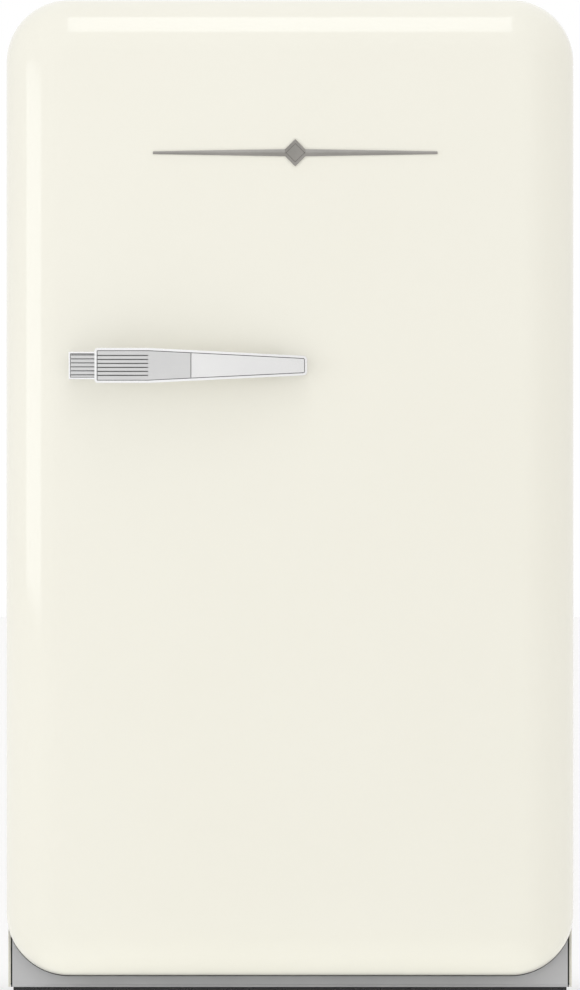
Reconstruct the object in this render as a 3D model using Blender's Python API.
"""Retro mini fridge with one right-hinged door, modelled at its real size in metres.

The front faces -Y, +X is the side of the hinges and +Z is up. The origin is on the floor, in the middle of the
whole object's outline. Every piece is its own object, and pieces that touch keep a gap of GAP between them.
"""

import math

import bmesh
import bpy
from mathutils import Matrix, Vector

# Overall sizes
WIDTH = 0.543
HEIGHT = 0.960
CORNER_RADIUS = 0.060
HANDLE_REACH = 0.042
DOOR_THICKNESS = 0.078
SEAL_GAP = 0.012
CABINET_DEPTH = 0.460
WALL_SPACING = 0.040
FLOOR_GAP = 0.014
DOOR_LIFT = 0.026

# Clearances
GAP = 0.0003
PLAY = 0.0004
CABINET_INSET = 0.0012
DYKE_CLEARANCE = 0.007

# Straight steps that stand for a quarter circle of the cabinet and the door
CORNER_STEPS = 5

# Cabinet walls
SHEET = 0.001
HEM = 0.0024
HEM_DEPTH = 0.012
SIDE_WALL = 0.0398
TOP_WALL = 0.0448
REAR_WALL = 0.045
FLOOR_WALL = 0.058
LINER = 0.0017
LINER_CORNER = 0.014
BASE_SHEET = 0.0015
PLINTH_LIP = 0.020

# Compressor bay and the step over it
BAY_DEPTH = 0.166
BAY_TOP = 0.230
STEP_WALL = 0.045

# Inside fittings
PANE = 0.004
SHELF_COUNT = 3
SHELF_FRONT = 0.109
RIB = 0.006
CRISPER_HEIGHT = 0.139
CRISPER_PLAY = 0.001
CRISPER_COVER_Z = 0.224
HOUSING_WIDTH = 0.190
HOUSING_DEPTH = 0.130
HOUSING_HEIGHT = 0.046
HOUSING_WALL = 0.002
KNOB_RADIUS = 0.018
KNOB_DEPTH = 0.014
LAMP_WIDTH = 0.070
LAMP_DEPTH = 0.040

# Cooling circuit
EVAPORATOR = 0.006
EVAPORATOR_WIDTH = 0.300
EVAPORATOR_HEIGHT = 0.300
EVAPORATOR_DROP = 0.064
TUBE_RADIUS = 0.0024
SUCTION_RADIUS = 0.003
CAPILLARY_RADIUS = 0.0015
TUBE_CHANNEL = 0.0025
CONDENSER_RUNS = 11
CONDENSER_HALF = 0.200
CONDENSER_BOTTOM = 0.300
CONDENSER_DROP = 0.093
PLATFORM_Z = 0.034
PLATFORM_SHEET = 0.002
CAN_HALF_LENGTH = 0.080
CAN_HALF_DEPTH = 0.062
CAN_HEIGHT = 0.1555
CAN_X = 0.050

# Feet and rollers
FOOT_RADIUS = 0.017
FOOT_HEIGHT = 0.009
FOOT_SIDE = 0.060
FOOT_BACK = 0.034
STEM_RADIUS = 0.005
STEM_TOP = 0.040
ROLLER_RADIUS = 0.014
ROLLER_WIDTH = 0.018
ROLLER_SIDE = 0.071
ROLLER_BACK = 0.041
AXLE_RADIUS = 0.003
BRACKET_SHEET = 0.0015

# Door
SKIN = 0.0012
EDGE_ROLL = 0.050
SKIN_FLANGE = 0.012
DOOR_LINER = 0.002
DYKE_HEIGHT = 0.046
DYKE_WIDTH = 0.0165
DYKE_DRAFT = 0.002
DYKE_CORNER = 0.020
PANEL_STEP = 0.004
GASKET_LAP = 0.002

# Hinges
HINGE_INSET = 0.015
HINGE_SETBACK = 0.016
ARM_SHEET = 0.004
ARM_HALF = 0.008
ARM_CLEAR = 0.003
ARM_PLACE = 0.006
TAB_SHEET = 0.003
TAB_LENGTH = 0.034
PIN_RADIUS = 0.004
BUSH_RADIUS = 0.007
BUSH_LENGTH = 0.020

# Handle
HANDLE_DROP = 0.3505
HANDLE_LEFT = 0.0601
BLOCK_LENGTH = 0.0388
BLOCK_HEIGHT = 0.026
BLOCK_HALF = 0.0131
LEVER_START = 0.0248
LEVER_LENGTH = 0.203
LEVER_HALF = 0.0167
LEVER_TIP_HALF = 0.0092
LEVER_TIP_HEIGHT = 0.016
RIB_ZONE = 0.0513
GROOVES = 6
GROOVE_PITCH = 0.0038
GROOVE_DEPTH = 0.0012
SCREW_RADIUS = 0.002

# Badge
BADGE_WIDTH = 0.272
BADGE_DROP = 0.147
BADGE_SHEET = 0.002
BADGE_HALF = 0.0026
LOZENGE_HALF = 0.013

# Door storage
BIN_WALL = 0.002
BIN_DEPTH = 0.100
BIN_CORNER = 0.010
BOTTLE_BIN_LIFT = 0.0125
BOTTLE_BIN_HEIGHT = 0.085
MIDDLE_BIN_Z = 0.430
MIDDLE_BIN_HEIGHT = 0.070
DAIRY_DROP = 0.270
DAIRY_DEPTH = 0.084
DAIRY_HEIGHT = 0.060
RAIL_RISE = 0.050
RAIL_RADIUS = 0.0025
LID_SHEET = 0.002
LID_STUB = 0.0025

# Places along the depth, from the handle to the wall
DEPTH = HANDLE_REACH + DOOR_THICKNESS + SEAL_GAP + CABINET_DEPTH + WALL_SPACING
Y_FACE = -DEPTH / 2 + HANDLE_REACH
Y_DOOR_BACK = Y_FACE + DOOR_THICKNESS
Y_FRONT = Y_DOOR_BACK + SEAL_GAP
Y_BACK = Y_FRONT + CABINET_DEPTH
Y_WALL = Y_BACK + WALL_SPACING
Y_BEHIND_HEM = Y_FRONT + HEM_DEPTH + HEM - SHEET
Y_BAY = Y_BACK - BAY_DEPTH

# Half widths, heights and the food space
CABINET_HALF = WIDTH / 2 - CABINET_INSET
CABINET_TOP = HEIGHT - CABINET_INSET
SHEET_INSIDE = CABINET_HALF - SHEET - GAP
INNER_HALF = CABINET_HALF - SIDE_WALL
INNER_TOP = CABINET_TOP - TOP_WALL
INNER_FLOOR = FLOOR_GAP + FLOOR_WALL
INNER_BACK = Y_BACK - REAR_WALL
STEP_FRONT = Y_BAY - STEP_WALL
STEP_TOP = BAY_TOP + STEP_WALL
BASE_Z = FLOOR_GAP + BASE_SHEET + GAP
BASE_TOP = BASE_Z + BASE_SHEET
COLLAR_INSET = CABINET_INSET + HEM + GAP
Y_EVAPORATOR = INNER_BACK + LINER + GAP
EVAPORATOR_TOP = INNER_TOP - EVAPORATOR_DROP
EVAPORATOR_BOTTOM = EVAPORATOR_TOP - EVAPORATOR_HEIGHT
X_SUCTION = EVAPORATOR_WIDTH / 2 - 0.002
X_CAPILLARY = -X_SUCTION
Y_TUBES = Y_EVAPORATOR + EVAPORATOR / 2
Y_PANES = Y_FRONT + SHELF_FRONT
PLATFORM_TOP = PLATFORM_Z + PLATFORM_SHEET
SHELF_PITCH = (INNER_TOP - STEP_TOP) / SHELF_COUNT
SHELF_LEVELS = [STEP_TOP + 0.017 + SHELF_PITCH * 0.97 * n for n in range(SHELF_COUNT)]

# Door and hinge places
X_HINGE = WIDTH / 2 - HINGE_INSET
Y_HINGE = Y_DOOR_BACK - HINGE_SETBACK
LOWER_HINGE_Z = DOOR_LIFT + CORNER_RADIUS + ARM_PLACE
UPPER_HINGE_Z = HEIGHT - CORNER_RADIUS - ARM_PLACE
DYKE_TOP = Y_DOOR_BACK + DYKE_HEIGHT
Y_PANEL = Y_DOOR_BACK + PANEL_STEP
DYKE_INSIDE = INNER_HALF - DYKE_CLEARANCE - DYKE_WIDTH - 2 * DYKE_DRAFT
BIN_HALF = DYKE_INSIDE - 0.001
GASKET_OUTER = WIDTH / 2 - (X_HINGE - ARM_HALF - 0.001)
GASKET_INNER = WIDTH / 2 - (INNER_HALF + LINER + GASKET_LAP)
BOTTLE_BIN_Z = INNER_FLOOR + DYKE_CLEARANCE + DYKE_WIDTH + 2 * DYKE_DRAFT + BOTTLE_BIN_LIFT
DAIRY_Z = HEIGHT - DAIRY_DROP
PIVOT_Y = Y_PANEL + 0.012
PIVOT_Z = DAIRY_Z + DAIRY_HEIGHT + 0.016
HANDLE_Z = HEIGHT - HANDLE_DROP
HANDLE_X = -WIDTH / 2 + HANDLE_LEFT
BADGE_Z = HEIGHT - BADGE_DROP
BADGE_X = 0.005


# ---------------------------------------------------------------- shapes


def clear_scene():
    for item in list(bpy.data.objects):
        bpy.data.objects.remove(item, do_unlink=True)


def look(name, colour, roughness, metallic=0.0):
    """A plain Principled material in the piece's colour."""
    made = bpy.data.materials.new(name)
    made.use_nodes = True
    shader = made.node_tree.nodes["Principled BSDF"]
    shader.inputs["Base Color"].default_value = (*colour, 1.0)
    shader.inputs["Roughness"].default_value = roughness
    shader.inputs["Metallic"].default_value = metallic
    made.diffuse_color = (*colour, 1.0)
    return made


def piece(name, mesh, material, axis=None):
    """Puts a closed mesh in the scene as one object, parented to its joint's axis if it moves."""
    bmesh.ops.recalc_face_normals(mesh, faces=mesh.faces)
    data = bpy.data.meshes.new(name)
    mesh.to_mesh(data)
    mesh.free()
    data.shade_smooth()
    data.set_sharp_from_angle(angle=math.radians(35))
    made = bpy.data.objects.new(name, data)
    bpy.context.scene.collection.objects.link(made)
    if material:
        data.materials.append(material)
    if axis:
        made.parent = axis
        made.matrix_parent_inverse = Matrix.Translation(-axis.location)
    return made


def joint_axis(name, place):
    made = bpy.data.objects.new(name, None)
    made.location = place
    made.empty_display_size = 0.05
    bpy.context.scene.collection.objects.link(made)
    return made


def helper(mesh):
    """A cutter or an added shape, which is no piece of its own."""
    made = piece("helper", mesh, None)
    made.hide_render = True
    made.display_type = "WIRE"
    return made


def change(target, operation, tool):
    """Cuts a helper from a piece, joins it on, or keeps only what they share."""
    step = target.modifiers.new(operation.lower(), "BOOLEAN")
    step.operation = operation
    step.solver = "EXACT"
    step.object = tool


def cut(target, *meshes):
    for mesh in meshes:
        change(target, "DIFFERENCE", helper(mesh))


def join(target, *meshes):
    for mesh in meshes:
        change(target, "UNION", helper(mesh))


def keep_inside(target, *meshes):
    for mesh in meshes:
        change(target, "INTERSECT", helper(mesh))


def loft(loops, ring=False):
    """Skins a row of loops with the same number of points. A ring closes on its first loop, other lofts get caps."""
    mesh = bmesh.new()
    rows = [[mesh.verts.new(point) for point in loop] for loop in loops]
    pairs = list(zip(rows, rows[1:]))
    if ring:
        pairs.append((rows[-1], rows[0]))
    else:
        mesh.faces.new(rows[0])
        mesh.faces.new(rows[-1])
    for first, second in pairs:
        for here in range(len(first)):
            there = (here + 1) % len(first)
            mesh.faces.new((first[here], first[there], second[there], second[here]))
    bmesh.ops.triangulate(mesh, faces=[face for face in mesh.faces if len(face.verts) == 4])
    return mesh


def round_corners(points, radii, steps=CORNER_STEPS, closed=True):
    """The points with each corner of a given radius turned into an arc. A radius of 0 stays sharp."""
    points = [Vector(point) for point in points]
    if not isinstance(radii, (list, tuple)):
        radii = [radii] * len(points)
    made = []
    for n, (corner, radius) in enumerate(zip(points, radii)):
        at_end = not closed and n in (0, len(points) - 1)
        if at_end or radius <= 0:
            made.append(corner)
            continue
        before = points[n - 1] - corner
        after = points[(n + 1) % len(points)] - corner
        back, onward = before.normalized(), after.normalized()
        half_angle = back.angle(onward) / 2
        room = 0.495 * min(before.length, after.length)
        radius = min(radius, room * math.tan(half_angle))
        centre = corner + (back + onward).normalized() * (radius / math.sin(half_angle))
        start = corner + back * (radius / math.tan(half_angle))
        sweep = math.pi - 2 * half_angle
        for step in range(steps + 1):
            angle = sweep * step / steps
            made.append(centre + (start - centre) * math.cos(angle) - back * radius * math.sin(angle))
    return made


def rectangle(left, right, bottom, top, radius=0.0, steps=CORNER_STEPS):
    corners = [(left, bottom), (right, bottom), (right, top), (left, top)]
    return round_corners(corners, radius, steps)


def along_x(outline, x):
    return [(x, y, z) for y, z in outline]


def along_y(outline, y):
    return [(x, y, z) for x, z in outline]


def along_z(outline, z):
    return [(x, y, z) for x, y in outline]


def prism(outline, low, high, place):
    """A flat outline pulled straight along an axis. place is along_x, along_y or along_z."""
    return loft([place(outline, low), place(outline, high)])


def box(left, right, front, back, bottom, top, bevel=0.0):
    mesh = prism(rectangle(left, right, front, back), bottom, top, along_z)
    if bevel:
        bmesh.ops.recalc_face_normals(mesh, faces=mesh.faces)
        bmesh.ops.bevel(
            mesh, geom=mesh.edges[:], offset=bevel, segments=1, profile=0.5, affect="EDGES"
        )
    return mesh


def circle(centre, radius, axis, steps, flatten=1.0):
    """Points on a circle about the axis. flatten shortens it along the second direction, for an oval."""
    axis = Vector(axis).normalized()
    first = axis.orthogonal().normalized() if abs(axis.x) > 0.9 else (Vector((1, 0, 0)) - axis * axis.x).normalized()
    second = axis.cross(first)
    made = []
    for step in range(steps):
        angle = 2 * math.pi * (step + 0.5) / steps
        made.append(
            Vector(centre) + first * radius * math.cos(angle) + second * radius * flatten * math.sin(angle)
        )
    return made


def rod(start, end, radius, steps=16):
    direction = Vector(end) - Vector(start)
    return loft([circle(start, radius, direction, steps), circle(end, radius, direction, steps)])


def turned(profile, centre, axis, steps=16, ring=False):
    """A round solid from (radius, distance along the axis) points. A ring has a bore through it."""
    axis = Vector(axis).normalized()
    loops = [circle(Vector(centre) + axis * far, radius, axis, steps) for radius, far in profile]
    return loft(loops, ring)


def tube(route, radius, sides=6, bend=0.0, steps=4):
    """A round tube along a route, with its corners bent to one radius."""
    points = round_corners(route, bend, steps, closed=False)
    loops = []
    across = None
    for n, point in enumerate(points):
        behind = points[max(n - 1, 0)]
        ahead = points[min(n + 1, len(points) - 1)]
        direction = (ahead - behind).normalized()
        if across is None:
            across = direction.orthogonal().normalized()
        across = (across - direction * across.dot(direction)).normalized()
        other = direction.cross(across)
        loops.append([
            point + (across * math.cos(turn) + other * math.sin(turn)) * radius
            for turn in (2 * math.pi * (side + 0.5) / sides for side in range(sides))
        ])
    return loft(loops)


def mirrored(outline):
    """The outline with its own reflection in the middle plane added, for a symmetrical part."""
    return outline + [(-x, z) for x, z in reversed(outline)]


# ---------------------------------------------------------------- outlines shared by several pieces


def door_outline(inset, steps=CORNER_STEPS):
    """The door's front view, made smaller all round by the inset."""
    radius = max(CORNER_RADIUS - inset, 0.006)
    return rectangle(
        -WIDTH / 2 + inset, WIDTH / 2 - inset, DOOR_LIFT + inset, HEIGHT - inset, radius, steps
    )


def sheet_outline(bottom):
    """The inside of the cabinet's folded sheet, seen from the front: round at the top, square at the bottom."""
    radius = CORNER_RADIUS - CABINET_INSET - SHEET - GAP
    top = CABINET_TOP - SHEET - GAP
    corners = [(-SHEET_INSIDE, bottom), (SHEET_INSIDE, bottom), (SHEET_INSIDE, top), (-SHEET_INSIDE, top)]
    return round_corners(corners, [0, 0, radius, radius])


def opening_outline(grow):
    """The food space seen from the front, made larger all round."""
    return rectangle(
        -INNER_HALF - grow, INNER_HALF + grow, INNER_FLOOR - grow, INNER_TOP + grow,
        LINER_CORNER + grow,
    )


def dyke_outline(offset):
    """The raised border on the inside of the door, made smaller by the offset."""
    edge = DYKE_CLEARANCE + offset
    return rectangle(
        -INNER_HALF + edge, INNER_HALF - edge, INNER_FLOOR + edge, INNER_TOP - edge,
        max(DYKE_CORNER - offset, 0.006),
    )


def food_space(grow, front):
    """The food space as a solid: its side profile with the step, limited to its round front view and plan."""
    profile = round_corners(
        [
            (front, INNER_FLOOR - grow),
            (STEP_FRONT + grow, INNER_FLOOR - grow),
            (STEP_FRONT + grow, STEP_TOP - grow),
            (INNER_BACK + grow, STEP_TOP - grow),
            (INNER_BACK + grow, INNER_TOP + grow),
            (front, INNER_TOP + grow),
        ],
        [0, LINER_CORNER + grow, LINER_CORNER - grow, LINER_CORNER + grow, LINER_CORNER + grow, 0],
        3,
    )
    wide = INNER_HALF + grow + 0.010
    plan = round_corners(
        [
            (-INNER_HALF - grow, front - 0.010),
            (INNER_HALF + grow, front - 0.010),
            (INNER_HALF + grow, INNER_BACK + grow),
            (-INNER_HALF - grow, INNER_BACK + grow),
        ],
        [0, 0, LINER_CORNER + grow, LINER_CORNER + grow],
        3,
    )
    solid = helper(prism(profile, -wide, wide, along_x))
    keep_inside(
        solid,
        prism(opening_outline(grow), front - 0.010, INNER_BACK + grow + 0.010, along_y),
        prism(plan, INNER_FLOOR - 0.050, INNER_TOP + 0.050, along_z),
    )
    return solid


# ---------------------------------------------------------------- cabinet


def make_cabinet():
    cream = look("cream_enamel", (0.88, 0.86, 0.76), 0.12)
    grey = look("grey_paint", (0.40, 0.40, 0.42), 0.45)
    zinc = look("zinc_steel", (0.55, 0.56, 0.57), 0.40, 1.0)
    foam = look("polyurethane_foam", (0.85, 0.78, 0.52), 0.90)
    white = look("white_liner", (0.90, 0.91, 0.91), 0.30)

    def shell_loop(y, thickness):
        radius = CORNER_RADIUS - CABINET_INSET
        outside, top = CABINET_HALF, CABINET_TOP
        inside, ceiling = outside - thickness, top - thickness
        corners = [
            (-outside, FLOOR_GAP), (-outside, top), (outside, top), (outside, FLOOR_GAP),
            (inside, FLOOR_GAP), (inside, ceiling), (-inside, ceiling), (-inside, FLOOR_GAP),
        ]
        radii = [0, radius, radius, 0, 0, radius - thickness, radius - thickness, 0]
        return along_y(round_corners(corners, radii), y)

    piece("cabinet_shell", loft([
        shell_loop(Y_FRONT, HEM),
        shell_loop(Y_FRONT + HEM_DEPTH, HEM),
        shell_loop(Y_BEHIND_HEM, SHEET),
        shell_loop(Y_BACK, SHEET),
    ]), cream)

    hole = opening_outline(LINER + GAP)
    rim = rectangle(
        -WIDTH / 2 + COLLAR_INSET, WIDTH / 2 - COLLAR_INSET, DOOR_LIFT + COLLAR_INSET, HEIGHT - COLLAR_INSET,
        CORNER_RADIUS - COLLAR_INSET,
    )
    collar_back = Y_FRONT + HEM_DEPTH
    piece("front_collar", loft([
        along_y(rim, Y_FRONT), along_y(rim, collar_back), along_y(hole, collar_back), along_y(hole, Y_FRONT),
    ], ring=True), cream)

    # The plinth's upper edge follows the collar's round lower corners, up to a narrow ear at each side.
    edge = WIDTH / 2 - COLLAR_INSET
    radius = CORNER_RADIUS - COLLAR_INSET
    arc = []
    for step in range(1, CORNER_STEPS + 1):
        angle = math.pi / 2 * step / CORNER_STEPS
        arc.append((
            edge - radius + (radius + GAP) * math.cos(angle),
            DOOR_LIFT + CORNER_RADIUS - (radius + GAP) * math.sin(angle),
        ))
    half = [(edge, FLOOR_GAP), (edge, arc[0][1])] + arc
    plinth = piece("plinth", prism(mirrored(half), Y_FRONT, Y_FRONT + BASE_SHEET, along_y), grey)
    join(plinth, box(
        -edge, edge, Y_FRONT, Y_FRONT + PLINTH_LIP, FLOOR_GAP, FLOOR_GAP + BASE_SHEET
    ))

    base = piece("base_plate", box(
        -SHEET_INSIDE, SHEET_INSIDE, Y_BEHIND_HEM + GAP, Y_BAY - SHEET, BASE_Z, BASE_TOP
    ), zinc)
    for x, y in foot_places():
        cut(base, rod((x, y, BASE_Z - 0.010), (x, y, BASE_TOP + 0.010), STEM_RADIUS + PLAY, 12))

    # The rear panel is one bent sheet: down the back, forward over the compressor and down in front of it.
    bottom, top = BASE_TOP + GAP, CABINET_TOP
    panel = piece("rear_panel", prism(
        [
            (Y_BACK, top), (Y_BACK - SHEET, top),
            (Y_BACK - SHEET, BAY_TOP + SHEET), (Y_BAY - SHEET, BAY_TOP + SHEET),
            (Y_BAY - SHEET, bottom), (Y_BAY, bottom),
            (Y_BAY, BAY_TOP), (Y_BACK, BAY_TOP),
        ],
        -SHEET_INSIDE - 0.010, SHEET_INSIDE + 0.010, along_x,
    ), zinc)
    keep_inside(panel, prism(sheet_outline(bottom - 0.010), Y_BAY - 0.010, Y_BACK + 0.010, along_y))
    cut(
        panel,
        channel(X_SUCTION, SUCTION_RADIUS, BAY_TOP + 0.010),
        channel(X_CAPILLARY, CAPILLARY_RADIUS, BAY_TOP + 0.010),
    )

    insulation = piece("cabinet_foam", prism(
        sheet_outline(BASE_TOP + GAP), Y_BEHIND_HEM + GAP, Y_BACK - SHEET - GAP, along_y
    ), foam)
    cut(insulation, box(
        -WIDTH, WIDTH, Y_BAY - SHEET - GAP, Y_BACK + 0.010, 0.0, BAY_TOP + SHEET + GAP
    ))
    change(insulation, "DIFFERENCE", food_space(LINER + GAP, Y_FRONT))
    cut(
        insulation,
        box(
            -EVAPORATOR_WIDTH / 2 - GAP, EVAPORATOR_WIDTH / 2 + GAP,
            INNER_BACK, Y_EVAPORATOR + EVAPORATOR + GAP,
            EVAPORATOR_BOTTOM - GAP, EVAPORATOR_TOP + GAP,
        ),
        channel(X_SUCTION, SUCTION_RADIUS, EVAPORATOR_BOTTOM + 0.002),
        channel(X_CAPILLARY, CAPILLARY_RADIUS, EVAPORATOR_BOTTOM + 0.002),
    )
    for x, y in foot_places():
        cut(insulation, rod((x, y, 0.0), (x, y, STEM_TOP + 0.004), STEM_RADIUS + 0.003, 12))

    liner = piece("inner_liner", box(
        -INNER_HALF - 0.010, INNER_HALF + 0.010, Y_FRONT, INNER_BACK + 0.010,
        INNER_FLOOR - 0.010, INNER_TOP + 0.010,
    ), white)
    change(liner, "INTERSECT", food_space(LINER, Y_FRONT - 0.010))
    change(liner, "DIFFERENCE", food_space(0.0, Y_FRONT - 0.020))
    for level, back in pane_levels():
        for side in (-1, 1):
            x = sorted((side * (INNER_HALF - RIB), side * (INNER_HALF + LINER / 2)))
            join(liner, box(*x, Y_PANES + 0.016, back - 0.020, level - GAP - RIB, level - GAP))

    piece("evaporator_plate", box(
        -EVAPORATOR_WIDTH / 2, EVAPORATOR_WIDTH / 2, Y_EVAPORATOR, Y_EVAPORATOR + EVAPORATOR,
        EVAPORATOR_BOTTOM, EVAPORATOR_TOP,
    ), look("evaporator_aluminium", (0.75, 0.76, 0.78), 0.35, 1.0))


def foot_places():
    x = WIDTH / 2 - FOOT_SIDE
    return [(-x, Y_FRONT + FOOT_BACK), (x, Y_FRONT + FOOT_BACK)]


def pane_levels():
    """(underside, rear edge) of the crisper cover and of each shelf."""
    return [(CRISPER_COVER_Z, STEP_FRONT - 0.003)] + [(z, INNER_BACK - 0.005) for z in SHELF_LEVELS]


def channel(x, radius, top):
    """The round way that a tube takes up through the panel and the foam behind the food space."""
    return rod((x, Y_TUBES, BAY_TOP - 0.010), (x, Y_TUBES, top), radius + TUBE_CHANNEL, 10)


# ---------------------------------------------------------------- inside fittings


def make_fittings():
    glass = look("shelf_glass", (0.80, 0.90, 0.88), 0.05)
    clear = look("clear_plastic", (0.86, 0.90, 0.92), 0.10)
    chrome = look("trim_chrome", (0.80, 0.80, 0.80), 0.15, 1.0)
    white = look("white_plastic", (0.88, 0.88, 0.87), 0.35)
    half = INNER_HALF - 0.002
    names = ["crisper_cover", "shelf_glass_lower", "shelf_glass_middle", "shelf_glass_upper"]
    for name, (level, back) in zip(names, pane_levels()):
        corner = LINER_CORNER if name != "crisper_cover" else 0.004
        plan = round_corners(
            [(-half, Y_PANES), (half, Y_PANES), (half, back), (-half, back)],
            [0.002, 0.002, corner, corner], 3,
        )
        piece(name, prism(plan, level, level + PANE, along_z), glass)
        if name == "crisper_cover":
            continue
        # The trim is a channel that grips the front edge of the glass.
        lip, wall, front = 0.008, 0.0016, 0.006
        section = [
            (Y_PANES - front, level - GAP - wall), (Y_PANES + lip, level - GAP - wall),
            (Y_PANES + lip, level - GAP), (Y_PANES - GAP, level - GAP),
            (Y_PANES - GAP, level + PANE + GAP), (Y_PANES + lip, level + PANE + GAP),
            (Y_PANES + lip, level + PANE + GAP + wall), (Y_PANES - front, level + PANE + GAP + wall),
        ]
        piece(name.replace("glass", "trim"), prism(section, -half, half, along_x), chrome)

    side = INNER_HALF - LINER_CORNER - CRISPER_PLAY
    floor = INNER_FLOOR + GAP
    back = STEP_FRONT - LINER_CORNER - CRISPER_PLAY
    crisper = piece("crisper", tray(side, Y_PANES, back, floor, floor + CRISPER_HEIGHT, 0.008), clear)
    cut(crisper, tray(
        side - 0.0022, Y_PANES + 0.0022, back - 0.0022, floor + 0.0025, floor + CRISPER_HEIGHT + 0.010, 0.006
    ))
    join(crisper, box(
        -0.070, 0.070, Y_PANES - 0.010, Y_PANES + 0.001,
        floor + CRISPER_HEIGHT - 0.014, floor + CRISPER_HEIGHT - 0.008,
    ))

    # The housing hangs from the ceiling: a cover that is open at the top, with a window for the lamp.
    left, right = -HOUSING_WIDTH / 2, HOUSING_WIDTH / 2
    front = Y_PANES + 0.005
    rear = front + HOUSING_DEPTH
    top = INNER_TOP - GAP
    bottom = top - HOUSING_HEIGHT
    housing = piece("control_housing", box(left, right, front, rear, bottom, top, 0.002), white)
    cut(housing, box(
        left + HOUSING_WALL, right - HOUSING_WALL, front + HOUSING_WALL, rear - HOUSING_WALL,
        bottom + HOUSING_WALL, top + 0.010,
    ))
    lamp = (left + 0.030, left + 0.030 + LAMP_WIDTH, front + 0.040, front + 0.040 + LAMP_DEPTH)
    cut(housing, box(*lamp, bottom - 0.010, bottom + 0.010))
    piece("lamp_module", box(
        lamp[0] + GAP, lamp[1] - GAP, lamp[2] + GAP, lamp[3] - GAP, bottom - 0.002, bottom + 0.008, 0.001
    ), clear)

    x, z = right - 0.042, (bottom + top) / 2
    cut(housing, rod((x, front - 0.010, z), (x, front + 0.010, z), 0.0035, 12))
    axis = joint_axis("thermostat_axis", (x, front, z))
    piece("thermostat_knob", turned(
        [
            (0.003, 0.010), (0.003, -GAP * 2), (KNOB_RADIUS, -GAP * 2), (KNOB_RADIUS, -0.004),
            (KNOB_RADIUS * 0.86, -0.006), (KNOB_RADIUS * 0.80, -KNOB_DEPTH),
        ],
        (x, front, z), (0, 1, 0), 16,
    ), white, axis)


def tray(half, front, back, bottom, top, radius):
    """A block with round upright edges, for an open tray or the space inside it."""
    return prism(rectangle(-half, half, front, back, radius, 3), bottom, top, along_z)


# ---------------------------------------------------------------- compressor bay and back


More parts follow.
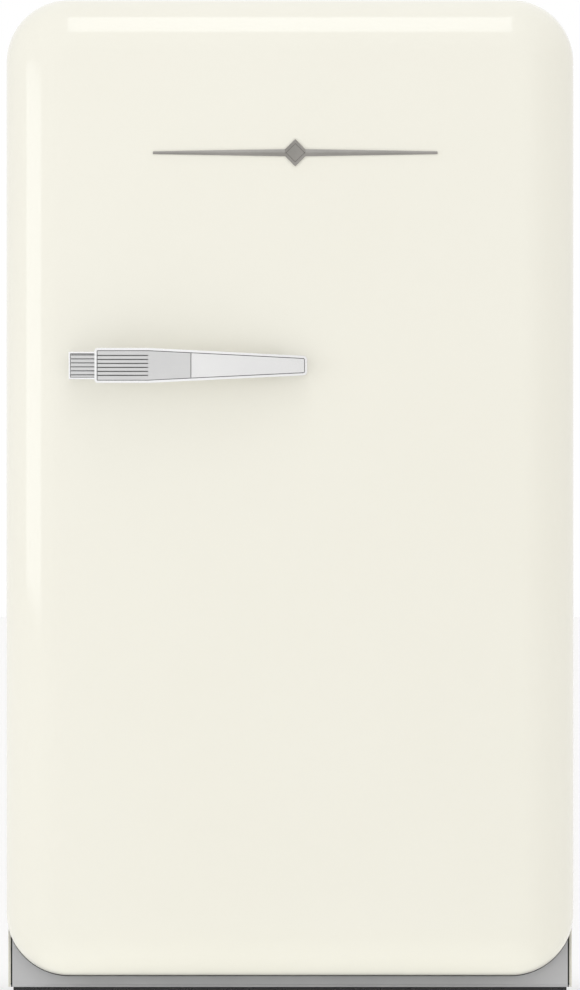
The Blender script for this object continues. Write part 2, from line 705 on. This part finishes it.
def make_machine():
    zinc = look("platform_zinc", (0.55, 0.56, 0.57), 0.40, 1.0)
    black = look("compressor_black", (0.02, 0.02, 0.022), 0.35)
    plastic = look("dark_plastic", (0.05, 0.05, 0.055), 0.50)
    copper = look("copper", (0.80, 0.45, 0.30), 0.30, 1.0)

    inside = SHEET_INSIDE
    piece("compressor_platform", prism(
        [
            (-inside, PLATFORM_Z), (inside, PLATFORM_Z), (inside, PLATFORM_TOP + 0.014),
            (inside - PLATFORM_SHEET, PLATFORM_TOP + 0.014), (inside - PLATFORM_SHEET, PLATFORM_TOP),
            (-inside + PLATFORM_SHEET, PLATFORM_TOP), (-inside + PLATFORM_SHEET, PLATFORM_TOP + 0.014),
            (-inside, PLATFORM_TOP + 0.014),
        ],
        Y_BAY + GAP, Y_BACK - GAP, along_y,
    ), zinc)

    # The can is a deep-drawn oval pot with a welded seam, on a plate with four feet.
    middle = (Y_BAY + Y_BACK) / 2
    foot_top = PLATFORM_TOP + 0.010
    can_bottom = foot_top + 0.0015
    can_rows = [
        (0.0, 0.80), (0.05, 0.95), (0.17, 1.0), (0.43, 1.0), (0.45, 1.03), (0.49, 1.03),
        (0.51, 1.0), (0.75, 0.97), (0.92, 0.85), (1.0, 0.60),
    ]
    flatten = CAN_HALF_DEPTH / CAN_HALF_LENGTH
    compressor = piece("compressor", loft([
        circle((CAN_X, middle, can_bottom + CAN_HEIGHT * high), CAN_HALF_LENGTH * wide, (0, 0, 1), 18, flatten)
        for high, wide in can_rows
    ]), black)
    join(compressor, box(
        CAN_X - 0.095, CAN_X + 0.095, middle - 0.070, middle + 0.070, foot_top - 0.001, foot_top + 0.002
    ))
    for x in (CAN_X - 0.080, CAN_X + 0.080):
        for y in (middle - 0.056, middle + 0.056):
            join(compressor, rod((x, y, PLATFORM_TOP + GAP), (x, y, foot_top), 0.009, 10))

    can_top = can_bottom + CAN_HEIGHT
    can_edge = CAN_HALF_LENGTH * 1.03
    piece("terminal_cover", box(
        CAN_X - can_edge - GAP - 0.026, CAN_X - can_edge - GAP, middle - 0.030, middle + 0.030,
        can_bottom + 0.028, can_bottom + 0.098, 0.003,
    ), plastic)
    drip = piece("drip_tray", prism(
        rectangle(CAN_X - 0.075, CAN_X + 0.075, middle - 0.055, middle + 0.055, 0.010, 3),
        can_top + GAP, can_top + 0.022, along_z,
    ), plastic)
    cut(drip, prism(
        rectangle(CAN_X - 0.073, CAN_X + 0.073, middle - 0.053, middle + 0.053, 0.008, 3),
        can_top + 0.0025, can_top + 0.040, along_z,
    ))
    inlet = piece("power_inlet", box(
        -inside + 0.020, -inside + 0.050, Y_BACK - 0.036, Y_BACK - 0.004, PLATFORM_TOP + GAP, PLATFORM_TOP + 0.032,
        0.002,
    ), plastic)
    cut(inlet, rod(
        (-inside + 0.035, Y_BACK - 0.018, PLATFORM_TOP + 0.016),
        (-inside + 0.035, Y_BACK + 0.010, PLATFORM_TOP + 0.016), 0.005, 12,
    ))

    # Condenser: one tube bent to and fro behind the rear panel, down to the filter drier at its lower end.
    y = Y_BACK + WALL_SPACING * 0.475
    top = HEIGHT - CONDENSER_DROP
    pitch = (top - CONDENSER_BOTTOM) / (CONDENSER_RUNS - 1)
    route = [(CONDENSER_HALF + 0.002, y, top)]
    for run in range(CONDENSER_RUNS - 1):
        side = -CONDENSER_HALF if run % 2 == 0 else CONDENSER_HALF
        route += [(side, y, top - pitch * run), (side, y, top - pitch * (run + 1))]
    drier_x = -CONDENSER_HALF - 0.008
    drier_top = CONDENSER_BOTTOM - 0.038
    drier_length = 0.100
    route += [(drier_x, y, CONDENSER_BOTTOM), (drier_x, y, drier_top + GAP)]
    piece("condenser", tube(route, TUBE_RADIUS, 6, pitch * 0.48, 3), black)

    bar_back = y - TUBE_RADIUS - GAP
    spacer = CONDENSER_HALF + 0.038
    upper = piece("condenser_bracket_upper", box(
        -spacer - 0.016, spacer + 0.016, Y_BACK + GAP, bar_back, top - 0.009, top + 0.009
    ), plastic)
    for side in (-1, 1):
        x = sorted((side * spacer, side * (spacer + 0.015)))
        join(upper, box(*x, Y_BACK + GAP, Y_WALL, top - 0.014, top + 0.014, 0.001))
    piece("condenser_bracket_lower", box(
        -CONDENSER_HALF + 0.040, CONDENSER_HALF + 0.015, Y_BACK + GAP, bar_back,
        CONDENSER_BOTTOM - 0.009, CONDENSER_BOTTOM + 0.009,
    ), plastic)

    piece("filter_drier", turned(
        [
            (0.003, 0.0), (0.010, -0.014), (0.010, -drier_length + 0.014), (0.002, -drier_length),
        ],
        (drier_x, y, drier_top), (0, 0, 1), 12,
    ), copper)

    drier_bottom = drier_top - drier_length - GAP
    piece("liquid_tube", tube([
        (drier_x, y, drier_bottom),
        (drier_x, y, drier_bottom - 0.030),
        (drier_x + 0.020, Y_TUBES, drier_bottom - 0.030),
        (X_CAPILLARY, Y_TUBES, drier_bottom - 0.020),
        (X_CAPILLARY, Y_TUBES, EVAPORATOR_BOTTOM - GAP),
    ], CAPILLARY_RADIUS, 6, 0.012, 3), copper)
    port_z = can_bottom + CAN_HEIGHT * 0.58
    port_x = CAN_X + CAN_HALF_LENGTH * 1.03 + GAP
    piece("suction_tube", tube([
        (X_SUCTION, Y_TUBES, EVAPORATOR_BOTTOM - GAP),
        (X_SUCTION, Y_TUBES, port_z + 0.030),
        (X_SUCTION + 0.010, middle + 0.020, port_z),
        (X_SUCTION + 0.004, middle, port_z),
        (port_x, middle, port_z),
    ], SUCTION_RADIUS, 6, 0.010, 3), copper)
    piece("discharge_tube", tube([
        (port_x, middle, port_z - 0.050),
        (CONDENSER_HALF + 0.022, middle, port_z - 0.050),
        (CONDENSER_HALF + 0.022, y, port_z - 0.030),
        (CONDENSER_HALF + 0.022, y, top),
        (CONDENSER_HALF + 0.002 + GAP, y, top),
    ], TUBE_RADIUS, 6, 0.014, 3), copper)


# ---------------------------------------------------------------- feet and rollers


def make_feet():
    plastic = look("foot_plastic", (0.04, 0.04, 0.045), 0.50)
    steel = look("axle_steel", (0.60, 0.60, 0.60), 0.30, 1.0)
    zinc = look("bracket_zinc", (0.55, 0.56, 0.57), 0.40, 1.0)
    for side, (x, y) in zip(("left", "right"), foot_places()):
        axis = joint_axis(f"front_{side}_foot_axis", (x, y, FOOT_HEIGHT))
        piece(f"front_{side}_foot", turned(
            [
                (FOOT_RADIUS - 0.002, 0.0), (FOOT_RADIUS, 0.002), (FOOT_RADIUS, FOOT_HEIGHT - 0.003),
                (FOOT_RADIUS - 0.004, FOOT_HEIGHT), (STEM_RADIUS, FOOT_HEIGHT), (STEM_RADIUS, STEM_TOP),
            ],
            (x, y, 0.0), (0, 0, 1), 16,
        ), plastic, axis)

    y = Y_BACK - ROLLER_BACK
    for side, sign in (("left", -1), ("right", 1)):
        x = sign * (WIDTH / 2 - ROLLER_SIDE)
        axis = joint_axis(f"rear_{side}_roller_axis", (x, y, ROLLER_RADIUS))
        wide = ROLLER_WIDTH / 2
        bore = AXLE_RADIUS + PLAY
        piece(f"rear_{side}_roller", turned(
            [
                (bore, -wide), (ROLLER_RADIUS - 0.001, -wide), (ROLLER_RADIUS, -wide + 0.001),
                (ROLLER_RADIUS, wide - 0.001), (ROLLER_RADIUS - 0.001, wide), (bore, wide),
            ],
            (x, y, ROLLER_RADIUS), (1, 0, 0), 18, ring=True,
        ), plastic, axis)
        inner, outer = wide + PLAY, wide + PLAY + BRACKET_SHEET
        top = PLATFORM_Z - GAP
        fork = [
            (x - outer, ROLLER_RADIUS - 0.006), (x - inner, ROLLER_RADIUS - 0.006),
            (x - inner, top - BRACKET_SHEET), (x + inner, top - BRACKET_SHEET),
            (x + inner, ROLLER_RADIUS - 0.006), (x + outer, ROLLER_RADIUS - 0.006),
            (x + outer, top), (x - outer, top),
        ]
        bracket = piece(f"rear_{side}_bracket", prism(fork, y - 0.016, y + 0.016, along_y), zinc)
        cut(bracket, rod(
            (x - 0.030, y, ROLLER_RADIUS), (x + 0.030, y, ROLLER_RADIUS), AXLE_RADIUS + GAP, 12
        ))
        piece(f"rear_{side}_axle", rod(
            (x - outer - 0.002, y, ROLLER_RADIUS), (x + outer + 0.002, y, ROLLER_RADIUS), AXLE_RADIUS, 12
        ), steel)


# ---------------------------------------------------------------- hinges


def hinge_slot(z, way):
    """The slot in the door's rear corner that the fixed arm reaches into and swings in."""
    low, high = sorted((z - way * ARM_CLEAR, z + way * (ARM_SHEET + ARM_CLEAR)))
    return box(
        X_HINGE - ARM_HALF - 0.002, WIDTH / 2 + 0.010, Y_HINGE - ARM_HALF * 2 - 0.0005, Y_DOOR_BACK + 0.010,
        low, high,
    )


def make_hinges():
    """Each arm is screwed to the collar and carries the pin. way is 1 where the pin points up, -1 where it is down."""
    steel = look("hinge_steel", (0.62, 0.62, 0.63), 0.30, 1.0)
    for name, z, way in (("lower", LOWER_HINGE_Z, 1), ("upper", UPPER_HINGE_Z, -1)):
        tab_back = Y_FRONT - GAP
        plan = [(X_HINGE + ARM_HALF, tab_back), (X_HINGE - ARM_HALF, tab_back)]
        for step in range(9):
            angle = math.pi + math.pi * step / 8
            plan.append((X_HINGE + ARM_HALF * math.cos(angle), Y_HINGE + ARM_HALF * math.sin(angle)))
        low, high = sorted((z, z + way * ARM_SHEET))
        arm = piece(f"{name}_hinge_arm", prism(plan, low, high, along_z), steel)
        low, high = sorted((z, z + way * TAB_LENGTH))
        join(arm, box(
            X_HINGE - ARM_HALF, X_HINGE + ARM_HALF, tab_back - TAB_SHEET, tab_back, low, high
        ))
        cut(arm, rod(
            (X_HINGE, Y_HINGE, z - 0.010), (X_HINGE, Y_HINGE, z + 0.010), PIN_RADIUS + GAP, 12
        ))
        tip = ARM_SHEET + ARM_CLEAR + BUSH_LENGTH * 0.85
        piece(f"{name}_hinge_pin", turned(
            [
                (PIN_RADIUS + 0.0025, -0.0018), (PIN_RADIUS + 0.0025, -GAP), (PIN_RADIUS, -GAP),
                (PIN_RADIUS, tip - 0.001), (PIN_RADIUS - 0.001, tip),
            ],
            (X_HINGE, Y_HINGE, z), (0, 0, way), 12,
        ), steel)


# ---------------------------------------------------------------- door


def make_door(axis):
    cream = look("door_enamel", (0.88, 0.86, 0.76), 0.10)
    foam = look("door_foam", (0.85, 0.78, 0.52), 0.90)
    white = look("door_liner_white", (0.90, 0.91, 0.91), 0.30)
    rubber = look("seal_rubber", (0.72, 0.72, 0.70), 0.55)
    nylon = look("bush_nylon", (0.85, 0.84, 0.80), 0.40)

    def roll(depth, steps=5):
        """The rolled edge at a depth under the surface, from the flat face round to the straight side."""
        rows = []
        for step in range(steps + 1):
            angle = math.pi / 2 * (1 - step / steps)
            inset = EDGE_ROLL - (EDGE_ROLL - depth) * math.cos(angle)
            y = Y_FACE + EDGE_ROLL - (EDGE_ROLL - depth) * math.sin(angle)
            rows.append(along_y(door_outline(inset), y))
        return rows

    skin_back = Y_DOOR_BACK - SKIN
    skin = piece("door_skin", loft(
        roll(0.0)
        + [
            along_y(door_outline(0.0), Y_DOOR_BACK),
            along_y(door_outline(SKIN_FLANGE), Y_DOOR_BACK),
            along_y(door_outline(SKIN_FLANGE), skin_back),
            along_y(door_outline(SKIN), skin_back),
        ]
        + roll(SKIN)[::-1]
    ), cream, axis)

    plate = Y_DOOR_BACK - DOOR_LINER
    edge = SKIN_FLANGE + GAP * 2

    def dyke_rows(shrink, base_y):
        """The raised border from its foot, over its top and down to the sunken panel."""
        wide = DYKE_DRAFT + DYKE_WIDTH
        return [
            along_y(dyke_outline(shrink), base_y),
            along_y(dyke_outline(DYKE_DRAFT + shrink), DYKE_TOP - shrink),
            along_y(dyke_outline(wide - shrink), DYKE_TOP - shrink),
            along_y(dyke_outline(wide + DYKE_DRAFT - shrink), Y_PANEL - shrink),
        ]

    liner = piece("door_liner", loft(
        dyke_rows(DOOR_LINER, plate)[::-1]
        + [along_y(door_outline(edge), plate), along_y(door_outline(edge), Y_DOOR_BACK)]
        + dyke_rows(0.0, Y_DOOR_BACK)
    ), white, axis)
    for z in (BOTTLE_BIN_Z, MIDDLE_BIN_Z, DAIRY_Z):
        for side in (-1, 1):
            x = sorted((side * (DYKE_INSIDE - 0.008), side * (DYKE_INSIDE + DYKE_DRAFT * 0.9)))
            join(liner, box(*x, Y_PANEL + 0.006, Y_PANEL + 0.036, z - GAP - RIB, z - GAP))

    body = piece("door_foam", loft(
        roll(SKIN + GAP)
        + [along_y(door_outline(SKIN + GAP), plate - GAP)]
    ), foam, axis)
    join(body, loft([
        along_y(dyke_outline(DOOR_LINER + GAP), plate - 0.020),
        along_y(dyke_outline(DOOR_LINER + GAP), plate - GAP),
        along_y(dyke_outline(DYKE_DRAFT + DOOR_LINER + GAP), DYKE_TOP - DOOR_LINER - GAP),
    ]))
    inside = DYKE_DRAFT + DYKE_WIDTH - DOOR_LINER - GAP
    cut(body, loft([
        along_y(dyke_outline(inside + DYKE_DRAFT), Y_PANEL - DOOR_LINER - GAP),
        along_y(dyke_outline(inside), DYKE_TOP - DOOR_LINER - GAP),
        along_y(dyke_outline(inside), DYKE_TOP + 0.010),
    ]))

    inner = door_outline(GASKET_INNER, 3)
    outer = door_outline(GASKET_OUTER, 3)
    near, far = Y_DOOR_BACK + GAP, Y_FRONT - GAP * 2
    piece("door_gasket", loft([
        along_y(outer, near), along_y(outer, far), along_y(inner, far), along_y(inner, near),
    ], ring=True), rubber, axis)

    for name, z, way in (("lower", LOWER_HINGE_Z, 1), ("upper", UPPER_HINGE_Z, -1)):
        for target in (skin, liner, body):
            cut(target, hinge_slot(z, way))
        seat = ARM_SHEET + ARM_CLEAR
        cut(body, rod(
            (X_HINGE, Y_HINGE, z + way * (seat - 0.002)),
            (X_HINGE, Y_HINGE, z + way * (seat + BUSH_LENGTH + GAP)),
            BUSH_RADIUS + GAP * 2, 16,
        ))
        bore = PIN_RADIUS + PLAY
        piece(f"{name}_bush", turned(
            [
                (bore, ARM_SHEET + GAP * 2), (BUSH_RADIUS + 0.002, ARM_SHEET + GAP * 2),
                (BUSH_RADIUS + 0.002, seat - GAP), (BUSH_RADIUS, seat - GAP),
                (BUSH_RADIUS, seat + BUSH_LENGTH - GAP), (bore, seat + BUSH_LENGTH - GAP),
            ],
            (X_HINGE, Y_HINGE, z), (0, 0, way), 16, ring=True,
        ), nylon, axis)

    make_badge(axis)
    make_handle(axis, skin, body)
    make_storage(axis)


def make_badge(axis):
    """A slim bar that tapers to both ends, with a lozenge in its middle."""
    half = BADGE_WIDTH / 2
    outline = [
        (-half, 0.0), (-LOZENGE_HALF, -BADGE_HALF), (0.0, -LOZENGE_HALF), (LOZENGE_HALF, -BADGE_HALF),
        (half, 0.0), (LOZENGE_HALF, BADGE_HALF), (0.0, LOZENGE_HALF), (-LOZENGE_HALF, BADGE_HALF),
    ]
    placed = [(BADGE_X + x, BADGE_Z + z) for x, z in outline]
    piece(
        "door_badge", prism(placed, Y_FACE - GAP - BADGE_SHEET, Y_FACE - GAP, along_y),
        look("badge_steel", (0.55, 0.53, 0.50), 0.30, 1.0), axis,
    )


def make_handle(axis, skin, body):
    chrome = look("handle_chrome", (0.78, 0.78, 0.78), 0.22, 1.0)
    steel = look("screw_steel", (0.60, 0.60, 0.60), 0.35, 1.0)

    def section(x, top, under, half, groove):
        """One cross-section: a bevelled bar with fine grooves along its front face."""
        bevel = min(0.002, (top - under) * 0.4)
        squeeze = min(1.0, (half - bevel) / (GROOVES * GROOVE_PITCH / 2))
        points = [(under, -half), (top - bevel, -half), (top, -half + bevel)]
        for n in range(GROOVES):
            z = (n - (GROOVES - 1) / 2) * GROOVE_PITCH * squeeze
            points += [(top, z - 0.0006 * squeeze), (top - groove, z), (top, z + 0.0006 * squeeze)]
        points += [(top, half - bevel), (top - bevel, half), (under, half)]
        return [(x, Y_FACE - far, HANDLE_Z + z) for far, z in points]

    block_end = HANDLE_X + BLOCK_LENGTH
    block = piece("handle_base", loft([
        section(HANDLE_X, BLOCK_HEIGHT - 0.002, GAP, BLOCK_HALF - 0.001, GROOVE_DEPTH),
        section(HANDLE_X + 0.002, BLOCK_HEIGHT, GAP, BLOCK_HALF, GROOVE_DEPTH),
        section(block_end, BLOCK_HEIGHT, GAP, BLOCK_HALF, GROOVE_DEPTH),
    ]), chrome, axis)

    start = HANDLE_X + LEVER_START
    reach = HANDLE_REACH
    waist = LEVER_LENGTH * 0.45
    foot = LEVER_LENGTH - 0.023

    def half_at(far):
        return LEVER_HALF + (LEVER_TIP_HALF - LEVER_HALF) * max(0.0, far - RIB_ZONE) / (LEVER_LENGTH - RIB_ZONE)

    def top_at(far):
        if far <= waist:
            return reach - 0.0015 * max(0.0, far - RIB_ZONE) / (waist - RIB_ZONE)
        along = (far - waist) / (LEVER_LENGTH - waist)
        return reach - 0.0015 + (LEVER_TIP_HEIGHT - reach + 0.0015) * along

    clear = BLOCK_HEIGHT + GAP
    under_rows = [
        (0.0, clear, 1.0, -0.0015), (0.002, clear, 1.0, 0.0),
        (LEVER_START - 0.010, clear, 1.0, 0.0), (RIB_ZONE, clear - 0.001, 1.0, 0.0),
        (RIB_ZONE + 0.0004, clear - 0.001, 0.0, 0.0), (waist, clear - 0.003, 0.0, 0.0),
        (foot - 0.010, 0.009, 0.0, 0.0), (foot, 0.007, 0.0, 0.0), (foot + 0.0005, GAP, 0.0, 0.0),
        (LEVER_LENGTH - 0.002, GAP, 0.0, 0.0), (LEVER_LENGTH, GAP, 0.0, -0.0015),
    ]
    lever = piece("handle_lever", loft([
        section(start + far, top_at(far) + trim, under, half_at(far) + trim, GROOVE_DEPTH * groove)
        for far, under, groove, trim in under_rows
    ]), chrome, axis)

    screws = ((1, HANDLE_X + BLOCK_LENGTH * 0.5, block), (2, start + LEVER_LENGTH - 0.011, lever))
    for number, x, target in screws:
        inside = Y_FACE + SKIN
        cut(skin, rod((x, Y_FACE - 0.010, HANDLE_Z), (x, inside + 0.010, HANDLE_Z), SCREW_RADIUS + PLAY, 10))
        cut(body, rod((x, Y_FACE - 0.010, HANDLE_Z), (x, inside + 0.0045, HANDLE_Z), 0.0065, 12))
        cut(target, rod((x, Y_FACE + 0.010, HANDLE_Z), (x, Y_FACE - 0.0085, HANDLE_Z), SCREW_RADIUS + GAP, 10))
        piece(f"handle_screw_{number}", turned(
            [
                (SCREW_RADIUS, 0.0080 + SKIN), (SCREW_RADIUS, -GAP), (SCREW_RADIUS + 0.003, -GAP),
                (SCREW_RADIUS + 0.003, -0.0022), (SCREW_RADIUS + 0.0015, -0.0030),
            ],
            (x, inside, HANDLE_Z), (0, -1, 0), 10,
        ), steel, axis)


# ---------------------------------------------------------------- door storage


def make_storage(axis):
    clear = look("bin_plastic", (0.86, 0.90, 0.92), 0.10)
    chrome = look("rail_chrome", (0.80, 0.80, 0.80), 0.12, 1.0)
    back = Y_PANEL + GAP * 2

    def open_bin(name, z, height, depth):
        made = piece(name, tray(BIN_HALF, back, back + depth, z, z + height, BIN_CORNER), clear, axis)
        cut(made, tray(
            BIN_HALF - BIN_WALL, back + BIN_WALL, back + depth - BIN_WALL,
            z + BIN_WALL, z + height + 0.010, BIN_CORNER - BIN_WALL,
        ))
        return made

    for name, z, height in (
        ("bottle", BOTTLE_BIN_Z, BOTTLE_BIN_HEIGHT), ("middle", MIDDLE_BIN_Z, MIDDLE_BIN_HEIGHT),
    ):
        open_bin(f"{name}_bin", z, height, BIN_DEPTH)
        # The rail stands on the ends of the bin's front wall.
        x = BIN_HALF - BIN_CORNER - 0.004
        y = back + BIN_DEPTH - RAIL_RADIUS
        foot, top = z + height + GAP, z + height + RAIL_RISE
        piece(f"{name}_retainer", tube(
            [(-x, y, foot), (-x, y, top), (x, y, top), (x, y, foot)], RAIL_RADIUS, 6, 0.014, 3
        ), chrome, axis)

    box_top = DAIRY_Z + DAIRY_HEIGHT
    dairy = open_bin("dairy_box", DAIRY_Z, DAIRY_HEIGHT, DAIRY_DEPTH)
    for side in (-1, 1):
        x = sorted((side * (BIN_HALF - BIN_WALL), side * BIN_HALF))
        ear = round_corners(
            [
                (PIVOT_Y - 0.010, box_top - 0.020), (PIVOT_Y + 0.008, box_top - 0.020),
                (PIVOT_Y + 0.008, PIVOT_Z + 0.008), (PIVOT_Y - 0.010, PIVOT_Z + 0.008),
            ],
            [0, 0, 0.007, 0.007], 3,
        )
        join(dairy, prism(ear, *x, along_x))
    cut(dairy, rod((-WIDTH, PIVOT_Y, PIVOT_Z), (WIDTH, PIVOT_Y, PIVOT_Z), LID_STUB + PLAY, 12))

    # The lid is a plate with a lip at its front edge. It turns on a round bar at its rear edge.
    lid_axis = joint_axis("dairy_lid_axis", (0.0, PIVOT_Y, PIVOT_Z))
    half = BIN_HALF - BIN_WALL - 0.0008
    front = back + DAIRY_DEPTH
    low = PIVOT_Z - LID_SHEET / 2
    lid = piece("dairy_lid", prism(
        [
            (PIVOT_Y, low), (front - LID_SHEET, low), (front - LID_SHEET, box_top + 0.002),
            (front, box_top + 0.002), (front, low + LID_SHEET), (PIVOT_Y, low + LID_SHEET),
        ],
        -half, half, along_x,
    ), clear, lid_axis)
    join(lid, rod(
        (-BIN_HALF + GAP, PIVOT_Y, PIVOT_Z), (BIN_HALF - GAP, PIVOT_Y, PIVOT_Z), LID_STUB, 12
    ))


def main():
    clear_scene()
    make_cabinet()
    make_fittings()
    make_machine()
    make_feet()
    make_hinges()
    make_door(joint_axis("door_axis", (X_HINGE, Y_HINGE, 0.0)))


main()
